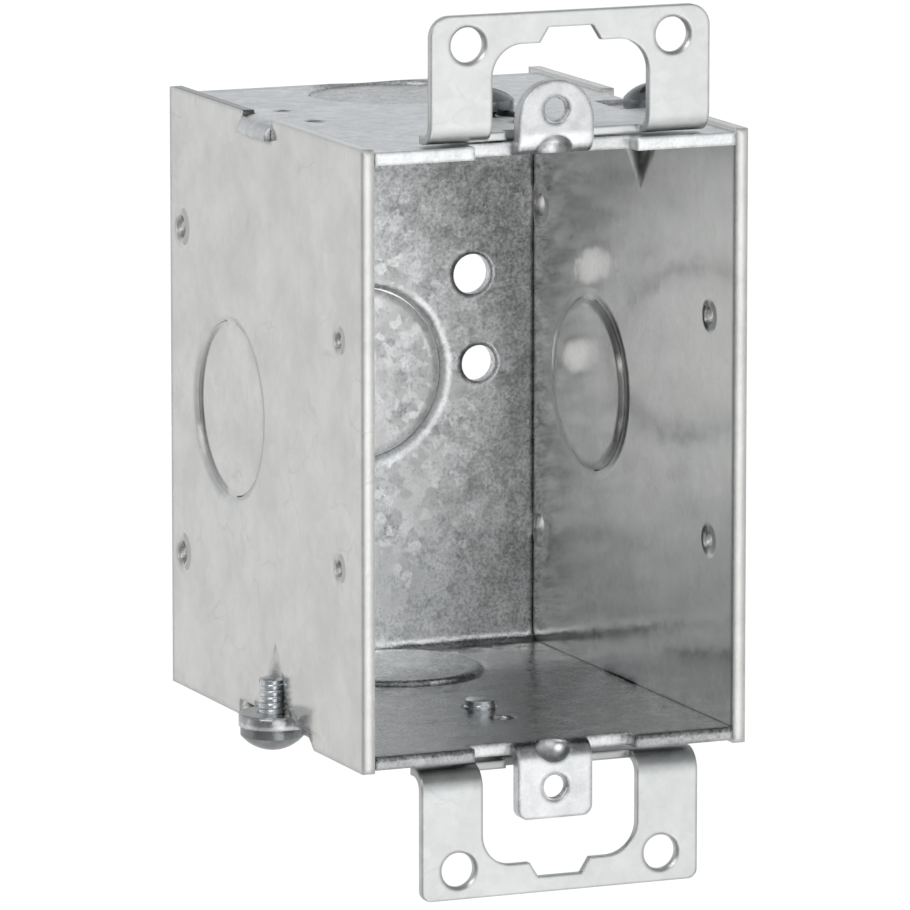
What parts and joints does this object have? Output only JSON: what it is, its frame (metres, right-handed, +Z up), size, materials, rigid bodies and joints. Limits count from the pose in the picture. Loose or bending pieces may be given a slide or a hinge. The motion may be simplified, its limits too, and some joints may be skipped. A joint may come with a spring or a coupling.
{
  "type": "switch box",
  "caption": "Gangable sheet steel switch box, open at the front, with removable side plates, knockouts, device tabs and adjustable plaster ears.",
  "frame": {"origin": "centre of the two device screw holes, on the plane of the open front", "axes": "-Y out of the opening towards the room, +Z up along the two device screw holes, +X to the right when looking into the box"},
  "size_m": [0.06, 0.0644, 0.1082],
  "materials": {
    "galvanised_sheet": "galvanised",
    "side_sheet": "galvanised",
    "ear_steel": "smooth galvanised",
    "zinc_plated": "zinc plated"
  },
  "bodies": {
    "box": {"body": "galvanised_sheet", "side_plate_left": "side_sheet", "side_plate_right": "side_sheet"},
    "ear_top": {"plaster_ear_top": "ear_steel"},
    "ear_bottom": {"plaster_ear_bottom": "ear_steel"},
    "gang_screw_left": {"ganging_screw_left": "zinc_plated"},
    "gang_screw_right": {"ganging_screw_right": "zinc_plated"},
    "clamp_screw_top": {"ear_screw_top": "zinc_plated"},
    "clamp_screw_bottom": {"ear_screw_bottom": "zinc_plated"}
  },
  "joints": [
    {"name": "ear_top_slide", "type": "slide", "parent": "box", "child": "ear_top", "axis": [0, 1, 0], "range_m": [0, 0.007]},
    {"name": "ear_bottom_slide", "type": "slide", "parent": "box", "child": "ear_bottom", "axis": [0, 1, 0], "range_m": [0, 0.007]},
    {"name": "gang_screw_left_out", "type": "slide", "parent": "box", "child": "gang_screw_left", "axis": [0, 0, -1], "range_m": [0, 0.0042]},
    {"name": "gang_screw_right_out", "type": "slide", "parent": "box", "child": "gang_screw_right", "axis": [0, 0, 1], "range_m": [0, 0.0042]},
    {"name": "clamp_screw_top_out", "type": "slide", "parent": "box", "child": "clamp_screw_top", "axis": [0, 0, 1], "range_m": [0, 0.001]},
    {"name": "clamp_screw_bottom_out", "type": "slide", "parent": "box", "child": "clamp_screw_bottom", "axis": [0, 0, -1], "range_m": [0, 0.001]}
  ]
}
